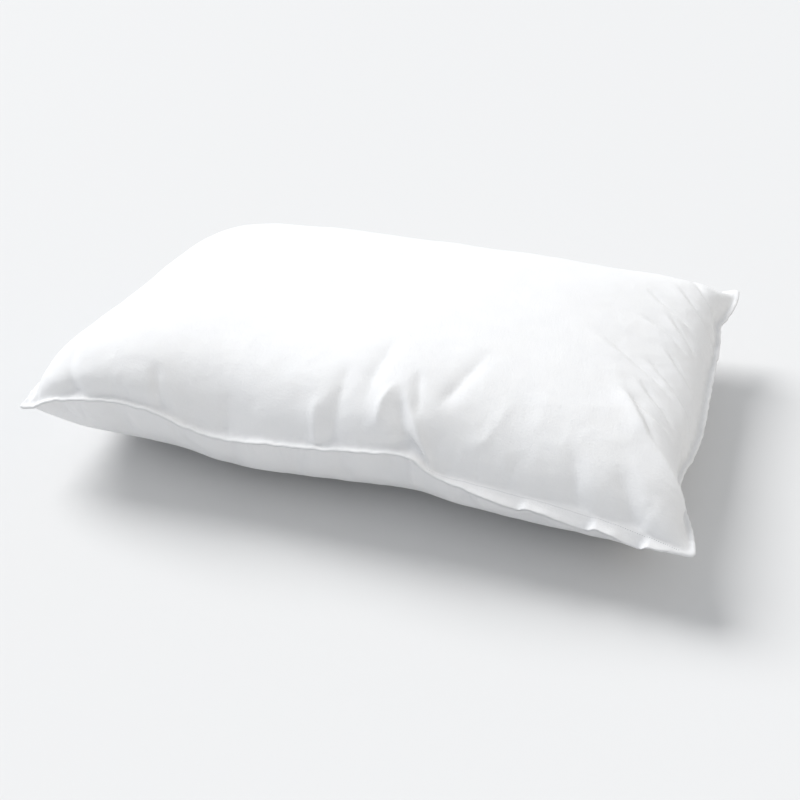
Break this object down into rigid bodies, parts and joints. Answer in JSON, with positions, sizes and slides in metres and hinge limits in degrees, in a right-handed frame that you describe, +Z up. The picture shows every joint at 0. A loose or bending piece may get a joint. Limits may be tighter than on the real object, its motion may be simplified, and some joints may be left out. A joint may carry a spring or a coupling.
{
  "type": "bed pillow",
  "caption": "Rectangular filled bed pillow lying flat, with a plump crown, drawn-in sides, turned seams and a topstitched closing hem along part of its front edge.",
  "frame": {"origin": "middle of the bounding box in plan, on the plane the pillow lies on", "axes": "+X along the long sides, towards the end with the closing hem's outer end; +Y from the front seam, which holds the closing hem, to the back seam; +Z up"},
  "size_m": [0.735, 0.495, 0.1653],
  "materials": {
    "ticking": "white, fine plain-weave cotton or cotton-blend ticking",
    "fibre": "white crimped polyester fibre, hidden inside the cover",
    "thread": "white spun polyester sewing thread"
  },
  "bodies": {
    "root": {"upper_panel": "ticking", "lower_panel": "ticking", "fibre_fill": "fibre", "left_seam_thread": "thread", "right_seam_thread": "thread", "back_seam_thread": "thread", "front_seam_thread": "thread", "closing_needle_thread": "thread", "closing_bobbin_thread": "thread", "closing_backtacks": "thread"}
  },
  "joints": []
}
